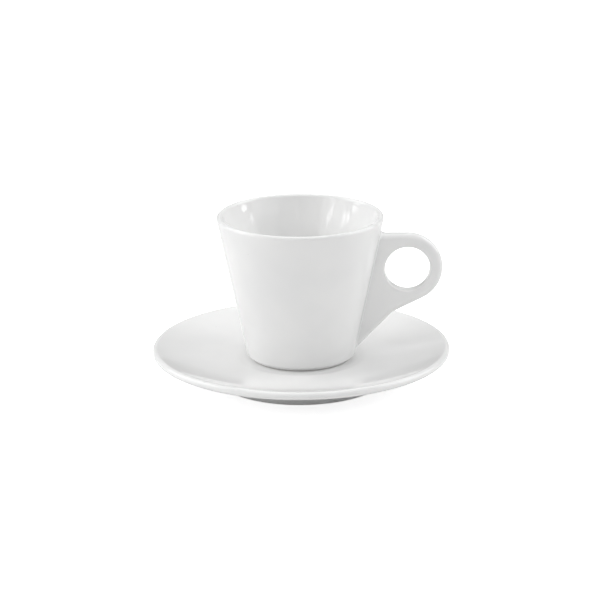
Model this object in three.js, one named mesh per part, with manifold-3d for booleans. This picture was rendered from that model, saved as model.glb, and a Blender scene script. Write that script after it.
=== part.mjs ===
// Espresso cup and saucer in glazed white porcelain. A straight conical cup carries a flat, pierced handle
// luted to its wall, and stands in the shallow well of a round saucer. Millimetres, +Z up.
// The origin is the middle of the saucer's foot, on the table. The handle points along +X.

import * as THREE from 'three';
import { mergeVertices } from 'three/addons/utils/BufferGeometryUtils.js';
import Module from 'manifold-3d';

// Cup
const cupHeight = 59;
const cupRimDiameter = 66.7;
const cupBaseDiameter = 43.6;
const cupLipThickness = 2.4;
const lipTaper = THREE.MathUtils.degToRad(2);
const bowlTaper = THREE.MathUtils.degToRad(8);
const taperDepth = 14;
const cupFootInset = 1.6;
const cupFootWidth = 2.6;
const cupFootHeight = 1.4;
const cupFloorHeight = 5.6;
const bowlFloorDiameter = 4;
const baseEdgeRadius = 0.5;

// Handle
const fingerHoleDiameter = 18.1;
const holeBelowRim = 22.3;
const holeWeb = 4.75;
const ringWidth = 5.1;
const ringAboveHole = 0.3;
const handleTipThickness = 5.2;
const handleRootThickness = 9.2;
const handleEdgeRadius = 2;
const braceAngle = THREE.MathUtils.degToRad(26);
const braceLength = 13.6;
const tailAboveBase = 2;
const elbowRadius = 9;

// Saucer
const saucerDiameter = 120;
const saucerHeight = 14;
const saucerLipThickness = 3;
const saucerFloor = 4.5;
const saucerFootDiameter = 69;
const saucerFootWidth = 3;
const saucerFootDraft = 0.6;
const saucerFootFillet = 3.2;
const saucerShoulderHeight = 5.2;
const dishBendDiameter = 88;
const underBendDiameter = 84;

// Well that the cup stands in
const wellHeight = 9.3;
const wellDepth = 0.2;
const wellSlopeWidth = 4;

// Clearances
const wellClearance = 1;
const seatClearance = 0.05;
const lutingGap = 0.3;

// Facets
const roundSegments = 64;
const arcSteps = 6;
const outlineArcSteps = 10;
const edgeSteps = 3;
const mergeTolerance = 1e-4;

const porcelain = new THREE.MeshStandardMaterial({ color: 0xf1f1ef, roughness: 0.12, metalness: 0 });

const wasm = await Module();
wasm.setup();

// A surface of revolution about Z, from a profile of radii and heights that starts and ends on the axis
function turned(profile) {
	const geometry = new THREE.LatheGeometry(profile.getPoints(arcSteps), roundSegments);
	return geometry.rotateX(Math.PI / 2);
}

// A closed geometry as a solid that can be joined and cut
function toSolid(geometry) {
	const bare = geometry.clone();
	bare.deleteAttribute('normal');
	bare.deleteAttribute('uv');
	const merged = mergeVertices(bare, mergeTolerance);
	const index = merged.index.array;
	const triangles = [];
	for (let i = 0; i < index.length; i += 3) {
		const [a, b, c] = index.subarray(i, i + 3);
		if (a !== b && b !== c && c !== a) triangles.push(a, b, c);
	}
	return new wasm.Manifold(new wasm.Mesh({
		numProp: 3,
		vertProperties: merged.attributes.position.array,
		triVerts: new Uint32Array(triangles),
	}));
}

function toGeometry(solid) {
	const mesh = solid.getMesh();
	const geometry = new THREE.BufferGeometry();
	geometry.setAttribute('position', new THREE.BufferAttribute(mesh.vertProperties, 3));
	geometry.setIndex(new THREE.BufferAttribute(mesh.triVerts, 1));
	geometry.computeVertexNormals();
	return geometry;
}

function named(name, geometry) {
	const mesh = new THREE.Mesh(geometry, porcelain.clone());
	mesh.name = name;
	return mesh;
}

// Slope of the line from a point that just touches a circle, passing below it (side -1) or above it (side 1)
function touchingSlope(from, centre, radius, side) {
	const run = centre.clone().sub(from);
	return run.angle() + side * Math.asin(radius / run.length());
}

function onCircle(centre, radius, angle) {
	return new THREE.Vector2(Math.cos(angle), Math.sin(angle)).multiplyScalar(radius).add(centre);
}

// The cup's wall, in heights above the underside of its foot: a line from the base's corner to the round lip.
// The bowl leans more, by the lip's taper under the lip and by its own further down, so the wall is thinnest
// at the lip
const lipRadius = cupLipThickness / 2;
const lipCentre = new THREE.Vector2(cupRimDiameter / 2 - lipRadius, cupHeight - lipRadius);
const baseCorner = new THREE.Vector2(cupBaseDiameter / 2, cupFootHeight);
const lean = Math.PI / 2 - touchingSlope(baseCorner, lipCentre, lipRadius, -1);
const lipLean = lean + lipTaper;
const bowlLean = lean + bowlTaper;

function outerRadius(height) {
	return baseCorner.x + (height - baseCorner.y) * Math.tan(lean);
}

function downBowl(from, angle, drop) {
	return new THREE.Vector2(from.x - drop * Math.tan(angle), from.y - drop);
}

function cupBodyGeometry() {
	const footOuter = baseCorner.x - cupFootInset;
	const footInner = footOuter - cupFootWidth;
	const edgeHeight = cupFootHeight + baseEdgeRadius;
	const edgeCentre = outerRadius(edgeHeight) - baseEdgeRadius / Math.cos(lean);
	const bowlStart = onCircle(lipCentre, lipRadius, Math.PI - lipLean);
	const bowlBend = downBowl(bowlStart, lipLean, taperDepth / 2);
	const bowlMiddle = downBowl(bowlBend, bowlLean, taperDepth / 2);
	const floorBend = downBowl(bowlMiddle, bowlLean, bowlMiddle.y - cupFloorHeight);

	const profile = new THREE.Path();
	profile.moveTo(0, cupFootHeight);
	profile.lineTo(footInner, cupFootHeight);
	profile.lineTo(footInner, 0);
	profile.lineTo(footOuter, 0);
	profile.lineTo(footOuter, cupFootHeight);
	profile.lineTo(edgeCentre, cupFootHeight);
	profile.absarc(edgeCentre, edgeHeight, baseEdgeRadius, -Math.PI / 2, -lean, false);
	profile.absarc(lipCentre.x, lipCentre.y, lipRadius, -lean, Math.PI - lipLean, false);
	profile.quadraticCurveTo(bowlBend.x, bowlBend.y, bowlMiddle.x, bowlMiddle.y);
	profile.quadraticCurveTo(floorBend.x, floorBend.y, bowlFloorDiameter / 2, cupFloorHeight);
	profile.lineTo(0, cupFloorHeight);
	return turned(profile);
}

// The finger hole and the ring around it, in the plane of the handle: x from the cup's axis, y above its foot
const holeRadius = fingerHoleDiameter / 2;
const ringRadius = holeRadius + ringWidth;
const holeHeight = cupHeight - holeBelowRim;
const holeCentre = new THREE.Vector2(outerRadius(holeHeight) + holeWeb + holeRadius, holeHeight);
const ringCentre = holeCentre.clone().add(new THREE.Vector2(0, ringAboveHole));

// Outline of the handle: a level top edge, the round of the ring, a brace back towards the cup, an elbow
// and the tail down to the foot of the wall
function handleOutline() {
	const quarter = Math.PI / 2;
	const ringEnd = braceAngle - quarter;
	const braceStart = onCircle(ringCentre, ringRadius, ringEnd);
	const tailHeight = cupFootHeight + tailAboveBase;
	const tailFoot = new THREE.Vector2(outerRadius(tailHeight), tailHeight);

	// The brace and the tail meet at a corner, which the elbow rounds off on its hollow side
	const corner = onCircle(braceStart, braceLength, braceAngle + Math.PI);
	const tailAngle = corner.clone().sub(tailFoot).angle();
	const bend = tailAngle - braceAngle;
	const hollow = quarter * Math.sign(bend);
	const elbowStart = onCircle(corner, elbowRadius * Math.tan(Math.abs(bend) / 2), braceAngle);
	const elbow = onCircle(elbowStart, elbowRadius, braceAngle - hollow);

	// The slab runs on inside the face of the wall, which then cuts it off
	const innerEnd = outerRadius(0) - handleRootThickness;
	const outline = new THREE.Shape();
	outline.moveTo(innerEnd, ringCentre.y + ringRadius);
	outline.lineTo(ringCentre.x, ringCentre.y + ringRadius);
	outline.absarc(ringCentre.x, ringCentre.y, ringRadius, quarter, ringEnd, true);
	outline.absarc(elbow.x, elbow.y, elbowRadius, braceAngle + hollow, tailAngle + hollow, hollow < 0);
	outline.lineTo(innerEnd, tailFoot.y + Math.tan(tailAngle) * (innerEnd - tailFoot.x));
	outline.closePath();

	const hole = new THREE.Path();
	hole.absarc(holeCentre.x, holeCentre.y, holeRadius, 0, 2 * Math.PI, false);
	outline.holes.push(hole);
	return outline;
}

// The slab flares towards its root, and is thinnest at the tip of the ring
function handleThickness(x) {
	const root = outerRadius(0);
	const tip = ringCentre.x + ringRadius;
	const share = THREE.MathUtils.clamp((x - root) / (tip - root), 0, 1);
	return THREE.MathUtils.lerp(handleTipThickness, handleRootThickness, (1 - share) ** 2);
}

function cupHandleGeometry() {
	const core = handleTipThickness - 2 * handleEdgeRadius;
	const slab = new THREE.ExtrudeGeometry(handleOutline(), {
		depth: core,
		curveSegments: outlineArcSteps,
		bevelThickness: handleEdgeRadius,
		bevelSize: handleEdgeRadius,
		bevelOffset: -handleEdgeRadius,
		bevelSegments: edgeSteps,
	});
	slab.translate(0, 0, -core / 2);
	slab.rotateX(Math.PI / 2);
	const position = slab.attributes.position;
	for (let i = 0; i < position.count; i++) {
		const flare = handleThickness(position.getX(i)) / handleTipThickness;
		position.setY(i, position.getY(i) * flare);
	}

	// The face of the wall, set out by the width of the luted joint and as tall as the slab
	slab.computeBoundingBox();
	const low = slab.boundingBox.min.z - lutingGap;
	const high = slab.boundingBox.max.z + lutingGap;
	const setOut = lutingGap / Math.cos(lean);
	const face = new THREE.Path();
	face.moveTo(0, low);
	face.lineTo(outerRadius(low) + setOut, low);
	face.lineTo(outerRadius(high) + setOut, high);
	face.lineTo(0, high);
	return toGeometry(toSolid(slab).subtract(toSolid(turned(face))));
}

function saucerGeometry() {
	const lip = saucerLipThickness / 2;
	const rim = new THREE.Vector2(saucerDiameter / 2 - lip, saucerHeight - lip);
	const footOuter = saucerFootDiameter / 2;
	const footInner = footOuter - saucerFootWidth;
	const footTop = footOuter + saucerFootDraft;
	const recessHeight = wellHeight - saucerFloor;
	const wellRadius = baseCorner.x + wellClearance;
	const dishHeight = wellHeight + wellDepth;

	// The underside and the dish each leave the level at a bend and then run straight into the round of the lip
	const underBend = new THREE.Vector2(underBendDiameter / 2, saucerShoulderHeight);
	const dishBend = new THREE.Vector2(dishBendDiameter / 2, dishHeight);
	const underEnd = touchingSlope(underBend, rim, lip, -1) - Math.PI / 2;
	const dishEnd = touchingSlope(dishBend, rim, lip, 1) + Math.PI / 2;
	const underTouch = onCircle(rim, lip, underEnd);

	const profile = new THREE.Path();
	profile.moveTo(0, recessHeight);
	profile.lineTo(footInner - saucerFootDraft, recessHeight);
	profile.lineTo(footInner, 0);
	profile.lineTo(footOuter, 0);
	profile.lineTo(footTop, saucerShoulderHeight - saucerFootFillet);
	profile.quadraticCurveTo(footTop, saucerShoulderHeight, footTop + saucerFootFillet, saucerShoulderHeight);
	profile.quadraticCurveTo(underBend.x, underBend.y, underTouch.x, underTouch.y);
	profile.absarc(rim.x, rim.y, lip, underEnd, dishEnd, false);
	profile.quadraticCurveTo(dishBend.x, dishBend.y, wellRadius + wellSlopeWidth, dishHeight);
	profile.lineTo(wellRadius, wellHeight);
	profile.lineTo(0, wellHeight);
	return turned(profile);
}

const cup = new THREE.Group();
cup.position.z = wellHeight + seatClearance;
cup.add(named('cup_body', cupBodyGeometry()));
cup.add(named('cup_handle', cupHandleGeometry()));

const espressoSet = new THREE.Group();
espressoSet.add(named('saucer', saucerGeometry()), cup);

export default espressoSet;
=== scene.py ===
import math

import bmesh
import bpy
from mathutils import Matrix, Vector


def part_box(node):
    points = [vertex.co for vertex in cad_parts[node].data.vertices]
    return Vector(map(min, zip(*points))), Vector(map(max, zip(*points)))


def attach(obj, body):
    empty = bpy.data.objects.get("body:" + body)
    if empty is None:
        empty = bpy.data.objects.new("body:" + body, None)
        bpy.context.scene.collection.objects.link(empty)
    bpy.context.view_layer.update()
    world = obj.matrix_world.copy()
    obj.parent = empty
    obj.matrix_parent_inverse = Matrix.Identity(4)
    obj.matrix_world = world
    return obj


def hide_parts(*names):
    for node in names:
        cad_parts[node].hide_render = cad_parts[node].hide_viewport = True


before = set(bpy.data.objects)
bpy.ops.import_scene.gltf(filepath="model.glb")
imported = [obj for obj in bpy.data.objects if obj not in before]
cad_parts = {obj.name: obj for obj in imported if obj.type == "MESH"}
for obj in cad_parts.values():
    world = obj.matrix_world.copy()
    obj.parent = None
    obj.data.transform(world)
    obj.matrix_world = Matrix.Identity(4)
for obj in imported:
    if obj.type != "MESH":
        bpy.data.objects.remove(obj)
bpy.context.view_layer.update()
scene = bpy.context.scene
mm = 0.001
mergeDistance = 0.001 * mm
lineSpacing = 1.2 * mm  # about one step of a straight run
cornerSteps = 8
print("frame loaded,", len(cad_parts), "solids")


# A vertex is the pen. It draws in the upright plane y = 0, with r to the right and z up.
def lineTo(mesh, pen, end, spacing=lineSpacing):
    start = pen.co.copy()
    goal = Vector((end.x, 0, end.y))
    pieces = max(1, round((goal - start).length / spacing))
    for i in range(pieces):
        pen = bmesh.ops.extrude_vert_indiv(mesh, verts=[pen])["verts"][0]
        pen.co = start.lerp(goal, (i + 1) / pieces)
    return pen


def arcTo(mesh, pen, centre, turn, steps):  # a turn above zero runs anticlockwise
    middle = (centre.x, 0, centre.y)
    made = bmesh.ops.spin(mesh, geom=[pen], cent=middle, axis=(0, -1, 0), angle=turn, steps=steps)
    return made["geom_last"][0]


def bendTo(mesh, pen, bend, end, steps):  # leaves towards the bend, arrives from it
    start = pen.co.xz
    for i in range(1, steps + 1):
        pen = lineTo(mesh, pen, softBend(start, bend, end, i / steps))
    return pen


def roundTo(mesh, pen, corner, onwards, radius, spacing=lineSpacing):  # to a corner, then round it
    arrive = (corner - pen.co.xz).normalized()
    leave = (onwards - corner).normalized()
    turn = math.atan2(arrive.cross(leave), arrive.dot(leave))
    touch = corner - arrive * radius * math.tan(abs(turn) / 2)
    side = Vector((-arrive.y, arrive.x)) * math.copysign(radius, turn)
    pen = lineTo(mesh, pen, touch, spacing)
    return arcTo(mesh, pen, touch + side, turn, cornerSteps)


def softBend(start, bend, end, t):
    return start * (1 - t) ** 2 + bend * 2 * t * (1 - t) + end * t ** 2


def onCircle(centre, radius, angle):
    return centre + Vector((math.cos(angle), math.sin(angle))) * radius


def touchingSlope(start, centre, radius, side):  # of the line that just touches a circle, below or above
    run = centre - start
    return math.atan2(run.y, run.x) + side * math.asin(radius / run.length)


def turnOnWheel(mesh, steps):
    bmesh.ops.spin(
        mesh, geom=mesh.verts[:] + mesh.edges[:], cent=(0, 0, 0), axis=(0, 0, 1),
        angle=2 * math.pi, steps=steps, use_merge=True)
    bmesh.ops.remove_doubles(mesh, verts=mesh.verts[:], dist=mergeDistance)  # closes both poles
    bmesh.ops.recalc_face_normals(mesh, faces=mesh.faces[:])


# How sharply the surface bends at each point, per millimetre: above zero on edges, below in hollows
def markGlazeBend(mesh):
    bend = mesh.verts.layers.float.new("glazeBend")
    mesh.normal_update()
    for vert in mesh.verts:
        arms = [edge.other_vert(vert).co - vert.co for edge in vert.link_edges]
        dips = [-2 * mm * arm.dot(vert.normal) / arm.length_squared for arm in arms]
        vert[bend] = sum(dips) / len(dips)


def finishPiece(name, mesh, body, node, material):
    markGlazeBend(mesh)
    for face in mesh.faces:
        face.smooth = True
    data = bpy.data.meshes.new(name)
    mesh.to_mesh(data)
    mesh.free()
    data.materials.append(material)
    piece = bpy.data.objects.new(name, data)
    scene.collection.objects.link(piece)
    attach(piece, body)
    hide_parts(node)
    print(name, "made,", len(data.polygons), "faces")


# Saucer
saucerLow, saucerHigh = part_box("saucer")
saucer = {
    "lip": 1.5 * mm,  # half the rim's thickness
    "floor": 4.5 * mm,
    "footRadius": 34.5 * mm,
    "footWidth": 3 * mm,
    "footDraft": 0.6 * mm,
    "footEdge": 0.9 * mm,
    "footFillet": 3.2 * mm,
    "recessFillet": 1.8 * mm,
    "shoulder": 5.2 * mm,  # underside's height beside the foot
    "underBend": 42 * mm,
    "dishBend": 44 * mm,
    "wellHeight": 9.3 * mm,
    "wellRadius": 22.8 * mm,
    "wellDepth": 0.2 * mm,
    "wellSlope": 4 * mm,
    "glazeLine": 0.5 * mm,  # the foot is bare below this height
    "floorSpacing": 3 * mm,  # about one step across the level floor of the well
    "filletSteps": 10,
    "underSteps": 24,
    "lipSteps": 24,
    "dishSteps": 36,
    "wellSteps": 6,
    "turns": 256,
}


def makeSaucer(material):
    lip = saucer["lip"]
    rim = Vector((saucerHigh.x - lip, saucerHigh.z - lip))
    footOuter = saucer["footRadius"]
    footInner = footOuter - saucer["footWidth"]
    footTop = footOuter + saucer["footDraft"]
    recess = saucer["wellHeight"] - saucer["floor"]
    shoulder = saucer["shoulder"]
    dishHeight = saucer["wellHeight"] + saucer["wellDepth"]
    underBend = Vector((saucer["underBend"], shoulder))
    dishBend = Vector((saucer["dishBend"], dishHeight))
    underEnd = touchingSlope(underBend, rim, lip, -1) - math.pi / 2
    dishEnd = touchingSlope(dishBend, rim, lip, 1) + math.pi / 2

    innerCorner = Vector((footInner - saucer["footDraft"], recess))
    innerFoot = Vector((footInner, saucerLow.z))
    outerFoot = Vector((footOuter, saucerLow.z))
    filletStart = Vector((footTop, shoulder - saucer["footFillet"]))
    filletBend = Vector((footTop, shoulder))
    filletEnd = Vector((footTop + saucer["footFillet"], shoulder))

    # The edge of the well is two soft bends that meet halfway down
    wellEdge = Vector((saucer["wellRadius"] + saucer["wellSlope"], dishHeight))
    wellFoot = Vector((saucer["wellRadius"], saucer["wellHeight"]))
    wellHalf = (wellEdge + wellFoot) / 2
    upperBend = Vector(((wellEdge.x + wellHalf.x) / 2, wellEdge.y))
    lowerBend = Vector(((wellFoot.x + wellHalf.x) / 2, wellFoot.y))

    mesh = bmesh.new()
    pen = mesh.verts.new((0, 0, recess))
    pen = roundTo(mesh, pen, innerCorner, innerFoot, saucer["recessFillet"])
    pen = roundTo(mesh, pen, innerFoot, outerFoot, saucer["footEdge"])
    pen = roundTo(mesh, pen, outerFoot, filletBend, saucer["footEdge"])
    pen = lineTo(mesh, pen, filletStart)
    pen = bendTo(mesh, pen, filletBend, filletEnd, saucer["filletSteps"])
    pen = bendTo(mesh, pen, underBend, onCircle(rim, lip, underEnd), saucer["underSteps"])
    pen = arcTo(mesh, pen, rim, dishEnd - underEnd, saucer["lipSteps"])
    pen = bendTo(mesh, pen, dishBend, wellEdge, saucer["dishSteps"])
    pen = bendTo(mesh, pen, upperBend, wellHalf, saucer["wellSteps"])
    pen = bendTo(mesh, pen, lowerBend, wellFoot, saucer["wellSteps"])
    lineTo(mesh, pen, Vector((0, saucer["wellHeight"])), saucer["floorSpacing"])
    turnOnWheel(mesh, saucer["turns"])
    finishPiece("saucer_porcelain", mesh, "saucer", "saucer", material)


# Cup
cupLow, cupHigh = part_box("cup_body")
cup = {
    "lip": 1.2 * mm,  # half the lip's thickness
    "baseRadius": 21.8 * mm,
    "baseEdge": 0.5 * mm,
    "footInset": 1.6 * mm,
    "footWidth": 2.6 * mm,
    "footHeight": 1.4 * mm,
    "footEdge": 0.6 * mm,
    "footFillet": 0.4 * mm,
    "floorHeight": 5.6 * mm,
    "lipTaper": math.radians(2),  # the bowl leans this much more than the outside under its lip
    "bowlTaper": math.radians(8),  # and this much more further down
    "taperDepth": 14 * mm,  # from the one to the other
    "glazeLine": 0.4 * mm,  # the foot is bare up to this far above its underside
    "lipSteps": 24,
    "bowlSteps": 16,
    "floorSteps": 40,
    "turns": 256,
}
lipCentre = Vector((cupHigh.x, cupHigh.z)) - Vector((1, 1)) * cup["lip"]
baseCorner = Vector((cup["baseRadius"], cupLow.z + cup["footHeight"]))
lean = math.pi / 2 - touchingSlope(baseCorner, lipCentre, cup["lip"], -1)


def wallRadius(z):
    return baseCorner.x + (z - baseCorner.y) * math.tan(lean)


def wallNormal(point):
    around = math.atan2(point.y, point.x)
    out = math.cos(lean)
    return Vector((math.cos(around) * out, math.sin(around) * out, -math.sin(lean)))


def wallGap(point):  # square to the wall, above zero outside the cup
    return (point.xy.length - wallRadius(point.z)) * math.cos(lean)


def downWall(point, tilt, drop):
    return point - Vector((math.tan(tilt), 1)) * drop


def makeCup(material):
    footOuter = baseCorner.x - cup["footInset"]
    footInner = footOuter - cup["footWidth"]
    recess = baseCorner.y
    floor = cupLow.z + cup["floorHeight"]
    lipLean = lean + cup["lipTaper"]
    bowlLean = lean + cup["bowlTaper"]
    bowlStart = onCircle(lipCentre, cup["lip"], math.pi - lipLean)
    bowlBend = downWall(bowlStart, lipLean, cup["taperDepth"] / 2)
    bowlMiddle = downWall(bowlBend, bowlLean, cup["taperDepth"] / 2)
    floorBend = downWall(bowlMiddle, bowlLean, bowlMiddle.y - floor)

    footPath = [
        (Vector((footInner, recess)), cup["footFillet"]),
        (Vector((footInner, cupLow.z)), cup["footEdge"]),
        (Vector((footOuter, cupLow.z)), cup["footEdge"]),
        (Vector((footOuter, recess)), cup["footFillet"]),
        (baseCorner, cup["baseEdge"]),
        (onCircle(lipCentre, cup["lip"], -lean), 0),
    ]
    mesh = bmesh.new()
    pen = mesh.verts.new((0, 0, recess))
    for (corner, radius), (onwards, _) in zip(footPath, footPath[1:]):
        pen = roundTo(mesh, pen, corner, onwards, radius)
    pen = lineTo(mesh, pen, footPath[-1][0])
    pen = arcTo(mesh, pen, lipCentre, math.pi + lean - lipLean, cup["lipSteps"])
    pen = bendTo(mesh, pen, bowlBend, bowlMiddle, cup["bowlSteps"])
    bendTo(mesh, pen, floorBend, Vector((0, floor)), cup["floorSteps"])
    turnOnWheel(mesh, cup["turns"])
    finishPiece("cup_porcelain", mesh, "cup", "cup_body", material)


# Handle
_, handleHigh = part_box("cup_handle")
handle = {
    "ringRadius": 14.15 * mm,
    "holeRadius": 9.05 * mm,
    "holeDrop": 0.3 * mm,
    "braceAngle": math.radians(26),
    "braceLength": 13.6 * mm,
    "elbow": 9 * mm,
    "tailAboveBase": 2 * mm,
    "tip": 5.2 * mm,  # thickness at the far end of the ring
    "root": 9.2 * mm,  # thickness at the foot of the wall
    "outerEdge": 2.3 * mm,
    "holeEdge": 0.8 * mm,
    "sharpEdge": math.radians(80),  # edges of the slab that turn by more are rounded
    "edgeSegments": 6,
    "ringSteps": 90,
    "faceRows": 30,
    "spacing": 0.6 * mm,
    "inside": 14 * mm,  # how far the flat blank runs into the wall before it is trimmed
    "hiddenCorner": 3.5 * mm,
    "trim": 2.4 * mm,  # the blank stops this far from the wall
    "sideFillet": 0.35 * mm,  # its joint runs out this far over the wall beside its faces
    "topFillet": 2.3 * mm,  # and this far above its top edge
    "roundEnds": 4.6 * mm,  # its top and its tail each rule this much of the joint
    "leastRun": 0.05,  # share of the way to the wall that the fillet leaves free
    "meetTries": 6,
    "sink": 0.6 * mm,
    "jointSteps": 10,
    "glazeLine": 0,  # glazed all over
}
ringCentre = Vector((handleHigh.x, handleHigh.z)) - Vector((1, 1)) * handle["ringRadius"]
holeCentre = ringCentre - Vector((0, handle["holeDrop"]))


def braceCorner():  # where the brace and the tail would meet without the elbow
    braceAngle = handle["braceAngle"]
    braceStart = onCircle(ringCentre, handle["ringRadius"], braceAngle - math.pi / 2)
    return onCircle(braceStart, -handle["braceLength"], braceAngle)


def tailFoot():
    height = baseCorner.y + handle["tailAboveBase"]
    return Vector((wallRadius(height), height))


def tailDirection():
    run = (tailFoot() - braceCorner()).normalized()
    return Vector((run.x, 0, run.y))


def drawHandleOutline(mesh):
    spacing = handle["spacing"]
    ringTurn = handle["braceAngle"] - math.pi
    tailEnd = tailFoot() + tailDirection().xz * handle["inside"]
    topStart = Vector((wallRadius(handleHigh.z), handleHigh.z))
    topEnd = topStart - Vector((handle["inside"], 0))

    pen = mesh.verts.new((topStart.x, 0, topStart.y))
    pen = lineTo(mesh, pen, Vector((ringCentre.x, handleHigh.z)), spacing)
    pen = arcTo(mesh, pen, ringCentre, ringTurn, handle["ringSteps"])
    pen = roundTo(mesh, pen, braceCorner(), tailEnd, handle["elbow"], spacing=spacing)
    pen = roundTo(mesh, pen, tailEnd, topEnd, handle["hiddenCorner"], spacing=spacing)
    pen = roundTo(mesh, pen, topEnd, topStart, handle["hiddenCorner"], spacing=spacing)
    lineTo(mesh, pen, topStart, spacing)
    bmesh.ops.remove_doubles(mesh, verts=mesh.verts[:], dist=mergeDistance)


def fromHole(vert):
    return vert.co.xz - holeCentre


def vertsOf(made):
    return [item for item in made["geom"] if isinstance(item, bmesh.types.BMVert)]


def edgesOf(made):
    return [item for item in made["geom"] if isinstance(item, bmesh.types.BMEdge)]


def handleThickness(x):  # thinnest at the tip, flaring towards the cup
    start = wallRadius(cupLow.z)
    share = min(max((x - start) / (handleHigh.x - start), 0), 1)
    return handle["tip"] + (handle["root"] - handle["tip"]) * (1 - share) ** 2


def makeHandleBlank(mesh):  # a pierced slab with rounded edges
    drawHandleOutline(mesh)
    made = bmesh.ops.extrude_edge_only(mesh, edges=mesh.edges[:])
    for vert in vertsOf(made):
        place = holeCentre + fromHole(vert).normalized() * handle["holeRadius"]
        vert.co = (place.x, 0, place.y)
    half = handle["tip"] / 2
    bmesh.ops.translate(mesh, verts=mesh.verts[:], vec=(0, -half, 0))
    made = bmesh.ops.extrude_face_region(mesh, geom=mesh.faces[:])
    bmesh.ops.translate(mesh, verts=vertsOf(made), vec=(0, 2 * half, 0))
    bmesh.ops.recalc_face_normals(mesh, faces=mesh.faces[:])

    onFaces = [edge for edge in mesh.edges if edge.verts[0].co.y * edge.verts[1].co.y > 0]
    rims = [edge for edge in onFaces if edge.calc_face_angle() > handle["sharpEdge"]]
    nearHole = handle["holeRadius"] + mergeDistance
    holeRims = [edge for edge in rims if fromHole(edge.verts[0]).length < nearHole]
    outerRims = [edge for edge in rims if fromHole(edge.verts[0]).length >= nearHole]
    for edges, offset in ((holeRims, handle["holeEdge"]), (outerRims, handle["outerEdge"])):
        bmesh.ops.bevel(
            mesh, geom=edges, offset=offset, offset_type="OFFSET", affect="EDGES",
            segments=handle["edgeSegments"], profile=0.5, material=-1)

    holeFace = nearHole + handle["holeEdge"]
    spokes = []
    for edge in mesh.edges:
        flat = all(abs(abs(vert.co.y) - half) < mergeDistance for vert in edge.verts)
        reach = sorted(fromHole(vert).length for vert in edge.verts)
        if flat and reach[0] < holeFace < reach[1]:
            spokes.append(edge)
    bmesh.ops.subdivide_edges(mesh, edges=spokes, cuts=handle["faceRows"], use_grid_fill=True)
    for vert in mesh.verts:
        vert.co.y *= handleThickness(vert.co.x) / handle["tip"]


def runOn(point, along, distance):  # a point of the blank, carried further along its own surface
    moved = point + along * distance
    moved.y *= handleThickness(moved.x) / handleThickness(point.x)
    return moved


def makeHandleJoint(mesh):  # trims the blank and runs it out over the wall in a hollow, softest at the top
    out = Vector((math.cos(lean), 0, -math.sin(lean)))
    onWall = Vector((baseCorner.x, 0, baseCorner.y))
    bmesh.ops.bisect_plane(
        mesh, geom=mesh.verts[:] + mesh.edges[:] + mesh.faces[:], dist=mergeDistance,
        plane_co=onWall + out * handle["trim"], plane_no=out, clear_inner=True)
    start = mesh.verts.layers.float_vector.new("start")
    corner = mesh.verts.layers.float_vector.new("corner")
    end = mesh.verts.layers.float_vector.new("end")
    mesh.normal_update()
    rim = [edge for edge in mesh.edges if edge.is_boundary]
    rimVerts = {vert for edge in rim for vert in edge.verts}
    low = min(vert.co.z for vert in rimVerts) + handle["roundEnds"]
    high = max(vert.co.z for vert in rimVerts) - handle["roundEnds"]
    topAlong = Vector((-1, 0, 0))
    tailAlong = tailDirection()
    for vert in rimVerts:
        share = min(max((vert.co.z - low) / (high - low), 0), 1)
        along = tailAlong.lerp(topAlong, share).normalized()
        reach = 0
        for _ in range(handle["meetTries"]):  # each try comes closer to where the surface meets the wall
            meet = runOn(vert.co, along, reach)
            reach += wallGap(meet) / along.dot(-wallNormal(meet))
        normal = wallNormal(meet)
        across = (vert.normal - normal * normal.dot(vert.normal)).normalized()
        upwards = max(vert.normal.z, 0)
        fillet = handle["sideFillet"] + (handle["topFillet"] - handle["sideFillet"]) * upwards
        edgePoint = meet + across * fillet
        edgePoint -= wallNormal(edgePoint) * wallGap(edgePoint)
        vert[start] = runOn(vert.co, along, max(reach - fillet, handle["leastRun"] * reach))
        vert[corner] = meet
        vert[end] = edgePoint
    for i in range(handle["jointSteps"] + 2):
        made = bmesh.ops.extrude_edge_only(mesh, edges=rim)
        rim = [edge for edge in edgesOf(made) if edge.is_boundary]
        for vert in vertsOf(made):
            t = i / handle["jointSteps"]
            if t <= 1:
                vert.co = softBend(vert[start], vert[corner], vert[end], t)
            else:
                vert.co -= wallNormal(vert.co) * handle["sink"]  # hidden inside the wall
    bmesh.ops.contextual_create(mesh, geom=rim)
    bmesh.ops.recalc_face_normals(mesh, faces=mesh.faces[:])
    for layer in ("start", "corner", "end"):
        mesh.verts.layers.float_vector.remove(mesh.verts.layers.float_vector[layer])


def makeHandle(material):
    mesh = bmesh.new()
    makeHandleBlank(mesh)
    makeHandleJoint(mesh)
    finishPiece("handle_porcelain", mesh, "cup", "cup_handle", material)


# Finish
porcelain = {
    "white": (0.875, 0.875, 0.87, 1),
    "cloudy": (0.845, 0.847, 0.845, 1),  # where the glaze lies a little thicker
    "pooled": (0.845, 0.85, 0.85, 1),  # glaze gathered in hollows
    "bare": (0.80, 0.785, 0.76, 1),  # unglazed body under the feet
    "speck": (0.52, 0.50, 0.47, 1),
    "cloudSize": 24 * mm,
    "orangePeel": 4.5 * mm,
    "pinholes": 0.8 * mm,
    "grain": 0.25 * mm,
    "speckSpacing": 5 * mm,
    "speckSize": 0.035,  # share of the spacing
    "speckCore": 0.4,  # share of a speck that is fully dark
    "speckRarity": 0.86,
    "gloss": 0.035,
    "dullest": 0.07,
    "bareRoughness": 0.62,
    "ripple": 0.012 * mm,
    "pinholeDepth": 0.12,  # share of the ripple, as the next
    "grainDepth": 1.5,
    "noiseSpan": (0.3, 0.7),  # most of a noise lies between these
    "hollowBend": (-0.25, -0.05),  # glaze is fully gathered at the first, and begins to at the second
    "lineWander": 0.4 * mm,
    "lineFade": 0.3 * mm,
    "ior": 1.52,
}


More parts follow.
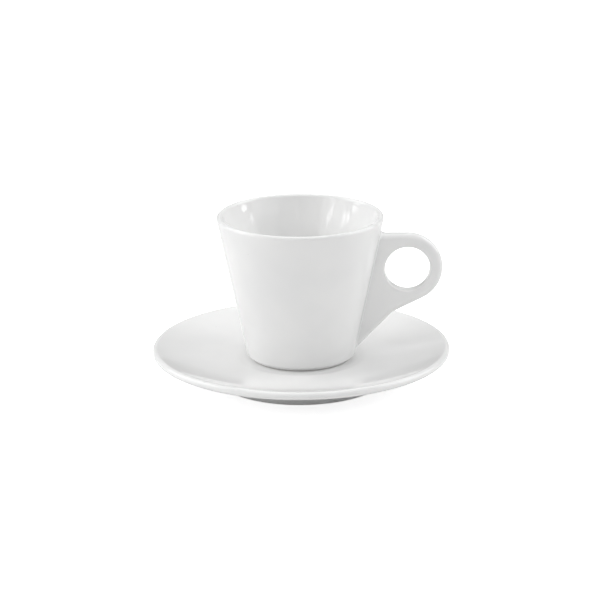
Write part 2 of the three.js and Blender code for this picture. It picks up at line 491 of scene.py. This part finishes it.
def addNode(tree, kind, **settings):
    node = tree.nodes.new(kind)
    for name, value in settings.items():
        setattr(node, name, value)
    return node


def addMath(tree, operation, first, second):
    node = addNode(tree, "ShaderNodeMath", operation=operation)
    for socket, value in zip(node.inputs, (first, second)):
        feed(tree, value, socket)
    return node.outputs["Value"]


def feed(tree, value, socket):  # a link where the value is a socket, else a fixed number
    if isinstance(value, bpy.types.NodeSocket):
        tree.links.new(value, socket)
    else:
        socket.default_value = value


def addNoise(tree, place, size, detail=2):
    node = addNode(tree, "ShaderNodeTexNoise")
    node.inputs["Scale"].default_value = 1 / size
    node.inputs["Detail"].default_value = detail
    feed(tree, place, node.inputs["Vector"])
    return node.outputs["Fac"]


def addRange(tree, value, fromLow, fromHigh, toLow, toHigh):
    node = addNode(tree, "ShaderNodeMapRange", interpolation_type="SMOOTHSTEP")
    names = ("Value", "From Min", "From Max", "To Min", "To Max")
    for name, amount in zip(names, (value, fromLow, fromHigh, toLow, toHigh)):
        feed(tree, amount, node.inputs[name])
    return node.outputs["Result"]


def addMix(tree, share, first, second):
    node = addNode(tree, "ShaderNodeMix", data_type="RGBA")
    firstColor, secondColor = [socket for socket in node.inputs if socket.type == "RGBA"]
    feed(tree, share, node.inputs["Factor"])
    feed(tree, first, firstColor)
    feed(tree, second, secondColor)
    return next(socket for socket in node.outputs if socket.type == "RGBA")


def makeGlazeGroup():
    tree = bpy.data.node_groups.new("porcelainGlaze", "ShaderNodeTree")
    for name, kind in (("Place", "Vector"), ("Bend", "Float"), ("Glaze Line", "Float")):
        tree.interface.new_socket(name, in_out="INPUT", socket_type="NodeSocket" + kind)
    for name, kind in (("Color", "Color"), ("Roughness", "Float"), ("Height", "Float")):
        tree.interface.new_socket(name, in_out="OUTPUT", socket_type="NodeSocket" + kind)
    given = addNode(tree, "NodeGroupInput").outputs
    result = addNode(tree, "NodeGroupOutput").inputs
    place = given["Place"]

    clouds = addNoise(tree, place, porcelain["cloudSize"])
    peel = addNoise(tree, place, porcelain["orangePeel"], detail=1)
    fine = addNoise(tree, place, porcelain["pinholes"])
    grain = addNoise(tree, place, porcelain["grain"])

    # The glaze stops in a slightly uneven line just above the foot
    apart = addNode(tree, "ShaderNodeSeparateXYZ")
    feed(tree, place, apart.inputs["Vector"])
    wander = addMath(tree, "MULTIPLY", clouds, porcelain["lineWander"])
    above = addMath(tree, "SUBTRACT", apart.outputs["Z"], given["Glaze Line"])
    bare = addRange(tree, addMath(tree, "ADD", above, wander), 0, porcelain["lineFade"], 1, 0)

    # A few iron specks, each a small dot in one of many cells
    cells = addNode(tree, "ShaderNodeTexVoronoi", feature="F1")
    cells.inputs["Scale"].default_value = 1 / porcelain["speckSpacing"]
    feed(tree, place, cells.inputs["Vector"])
    speckSize = porcelain["speckSize"]
    dot = addRange(tree, cells.outputs["Distance"], porcelain["speckCore"] * speckSize, speckSize, 1, 0)
    draw = addNode(tree, "ShaderNodeSeparateColor")
    feed(tree, cells.outputs["Color"], draw.inputs["Color"])
    chosen = addMath(tree, "GREATER_THAN", draw.outputs["Red"], porcelain["speckRarity"])
    specks = addMath(tree, "MULTIPLY", dot, chosen)

    pooled = addRange(tree, given["Bend"], *porcelain["hollowBend"], 1, 0)
    cloudy = addRange(tree, clouds, *porcelain["noiseSpan"], 0, 1)
    color = addMix(tree, cloudy, porcelain["white"], porcelain["cloudy"])
    color = addMix(tree, pooled, color, porcelain["pooled"])
    color = addMix(tree, specks, color, porcelain["speck"])
    color = addMix(tree, bare, color, porcelain["bare"])
    feed(tree, color, result["Color"])

    gloss = addRange(tree, peel, *porcelain["noiseSpan"], porcelain["gloss"], porcelain["dullest"])
    feed(tree, addRange(tree, bare, 0, 1, gloss, porcelain["bareRoughness"]), result["Roughness"])

    glazed = addMath(tree, "ADD", peel, addMath(tree, "MULTIPLY", fine, porcelain["pinholeDepth"]))
    rough = addMath(tree, "MULTIPLY", grain, addMath(tree, "MULTIPLY", bare, porcelain["grainDepth"]))
    feed(tree, addMath(tree, "ADD", glazed, rough), result["Height"])
    return tree


def makePorcelain(name, glazeGroup, glazeLine):
    material = bpy.data.materials.new(name)
    material.use_nodes = True
    tree = material.node_tree
    shader = tree.nodes["Principled BSDF"]
    shader.inputs["IOR"].default_value = porcelain["ior"]
    surface = addNode(tree, "ShaderNodeGroup", node_tree=glazeGroup)
    surface.inputs["Glaze Line"].default_value = glazeLine
    bend = addNode(tree, "ShaderNodeAttribute", attribute_name="glazeBend")
    bump = addNode(tree, "ShaderNodeBump")
    bump.inputs["Distance"].default_value = porcelain["ripple"]
    feed(tree, addNode(tree, "ShaderNodeTexCoord").outputs["Object"], surface.inputs["Place"])
    feed(tree, bend.outputs["Fac"], surface.inputs["Bend"])
    feed(tree, surface.outputs["Color"], shader.inputs["Base Color"])
    feed(tree, surface.outputs["Roughness"], shader.inputs["Roughness"])
    feed(tree, surface.outputs["Height"], bump.inputs["Height"])
    feed(tree, bump.outputs["Normal"], shader.inputs["Normal"])
    return material


# Studio
studio = {
    "floorSize": 4.0,
    "floorTone": (0.86, 0.86, 0.86, 1),
    "floorRoughness": 0.8,
    "glowTone": (1, 1, 1, 1),
    "floorGlow": 0.7,  # lifts the floor to white in the picture, and lights nothing
    "sky": (0.294, 0.294, 0.294, 1),
    "aim": Vector((0, 0, 35)) * mm,
    "distance": 1.1,
    "boxes": {  # azimuth from straight behind the cup, turning right; elevation; roll; width; height; watts
        "leftBox": (-79, 33, 0, 0.80, 0.91, 6.4),
        "rightBox": (79, 33, 0, 0.80, 0.91, 6.0),
        "topBox": (180, 58, 0, 1.17, 0.64, 2.5),
        "overheadBox": (0, 76, 0, 0.60, 0.50, 1.5),
        "backBox": (0, 50, 0, 1.18, 0.28, 1.4),
        "lowBackBox": (12, 15, 0, 0.80, 0.22, 0.13),
        "frontLeftBox": (-124, 18, 0, 0.83, 0.29, 1.0),
        "frontBox": (180, 18, 0, 1.25, 0.29, 0.42),
        "frontRightBox": (125, 13, -9, 0.90, 0.11, 0.21),
        "leftFrontStrip": (-131, 16.4, 30, 0.18, 0.06, 0.11),
        "leftSideStrip": (-101.7, 12.6, 11, 0.23, 0.07, 0.11),
        "rightSideStrip": (97.5, 11.4, -15, 0.20, 0.06, 0.04),
        "leftLowStrip": (-85, 7.2, 8, 0.29, 0.03, 0.10),
        "rightLowStrip": (86.5, 6.7, -7, 0.22, 0.022, 0.07),
    },
}


def makeFloor():
    mesh = bmesh.new()
    bmesh.ops.create_grid(mesh, x_segments=1, y_segments=1, size=studio["floorSize"] / 2)
    data = bpy.data.meshes.new("floor")
    mesh.to_mesh(data)
    mesh.free()
    material = bpy.data.materials.new("floorPale")
    material.use_nodes = True
    tree = material.node_tree
    shader = tree.nodes["Principled BSDF"]
    shader.inputs["Base Color"].default_value = studio["floorTone"]
    shader.inputs["Roughness"].default_value = studio["floorRoughness"]
    shader.inputs["Emission Color"].default_value = studio["glowTone"]
    seen = addNode(tree, "ShaderNodeLightPath").outputs["Is Camera Ray"]
    feed(tree, addMath(tree, "MULTIPLY", seen, studio["floorGlow"]), shader.inputs["Emission Strength"])
    data.materials.append(material)
    floor = bpy.data.objects.new("floor", data)
    scene.collection.objects.link(floor)


def makeLights():
    for name, (azimuth, elevation, roll, width, height, watts) in studio["boxes"].items():
        data = bpy.data.lights.new(name, "AREA")
        data.shape = "RECTANGLE"
        data.size = width
        data.size_y = height
        data.energy = watts
        box = bpy.data.objects.new(name, data)
        turn = math.radians(azimuth)
        rise = math.radians(elevation)
        towards = Vector((math.sin(turn) * math.cos(rise), math.cos(turn) * math.cos(rise), math.sin(rise)))
        place = Matrix.Translation(studio["aim"] + towards * studio["distance"])
        rolled = Matrix.Rotation(math.radians(roll), 4, towards)
        aimed = (-towards).to_track_quat("-Z", "Y").to_matrix().to_4x4()
        box.matrix_world = place @ rolled @ aimed
        box.visible_camera = False
        scene.collection.objects.link(box)
    world = bpy.data.worlds.new("studioWorld")
    world.use_nodes = True
    world.node_tree.nodes["Background"].inputs["Color"].default_value = studio["sky"]
    scene.world = world
    scene.view_settings.view_transform = "Standard"


# Camera
camera = {
    "aim": Vector((-0.33, 0, 32.7)) * mm,
    "elevation": math.radians(17.46),
    "roll": math.radians(-0.495),
    "distance": 1000 * mm,
    "lens": 149.0,
}


def makeCamera():
    tilt = camera["elevation"]
    back = Vector((0, -math.cos(tilt), math.sin(tilt)))
    turn = Matrix.Rotation(camera["roll"], 4, back)
    data = bpy.data.cameras.new("photoCamera")
    data.lens = camera["lens"]
    viewer = bpy.data.objects.new("photoCamera", data)
    upright = (-back).to_track_quat("-Z", "Y").to_matrix().to_4x4()
    place = Matrix.Translation(camera["aim"] + back * camera["distance"])
    viewer.matrix_world = place @ turn @ upright
    scene.collection.objects.link(viewer)
    scene.camera = viewer


glazeGroup = makeGlazeGroup()
makeSaucer(makePorcelain("saucerGlaze", glazeGroup, saucer["glazeLine"]))
makeCup(makePorcelain("cupGlaze", glazeGroup, cupLow.z + cup["glazeLine"]))
makeHandle(makePorcelain("handleGlaze", glazeGroup, handle["glazeLine"]))
makeFloor()
makeLights()
makeCamera()
print("studio and camera set")
